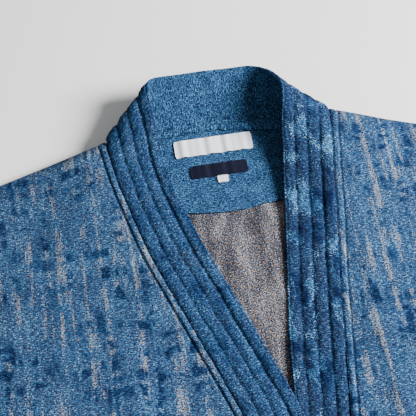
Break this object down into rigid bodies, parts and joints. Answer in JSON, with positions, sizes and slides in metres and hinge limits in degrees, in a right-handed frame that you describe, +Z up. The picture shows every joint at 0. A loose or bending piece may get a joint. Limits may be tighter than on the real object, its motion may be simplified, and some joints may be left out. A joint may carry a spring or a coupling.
{
  "type": "haori shirt laid flat",
  "caption": "Haori shirt laid flat and face up: lapped open fronts, wide sleeves and a quilted neckband that stands at the back neck over a yoke facing.",
  "frame": {"origin": "middle of the bounding box, on the surface that the garment lies on", "axes": "+X towards the wearer's left, +Y from the hem towards the collar, +Z up from the surface"},
  "size_m": [1.3242, 0.799, 0.0434],
  "materials": {
    "face_cloth": "dry slub cotton jacquard, indigo and beige melange",
    "inner_cloth": "plain mid-blue melange cotton",
    "band_cloth": "jacquard quilted in lengthwise channels",
    "white_label": "white woven label, blank",
    "navy_label": "navy woven label, blank"
  },
  "bodies": {
    "root": {"back": "face_cloth", "back_yoke": "inner_cloth", "front_right": "face_cloth", "front_left": "face_cloth", "sleeve_right": "face_cloth", "sleeve_left": "face_cloth", "neckband_right": "band_cloth", "neckband_neck": "band_cloth", "neckband_left": "band_cloth", "main_label": "white_label", "origin_label": "navy_label", "size_tab": "white_label"}
  },
  "joints": []
}
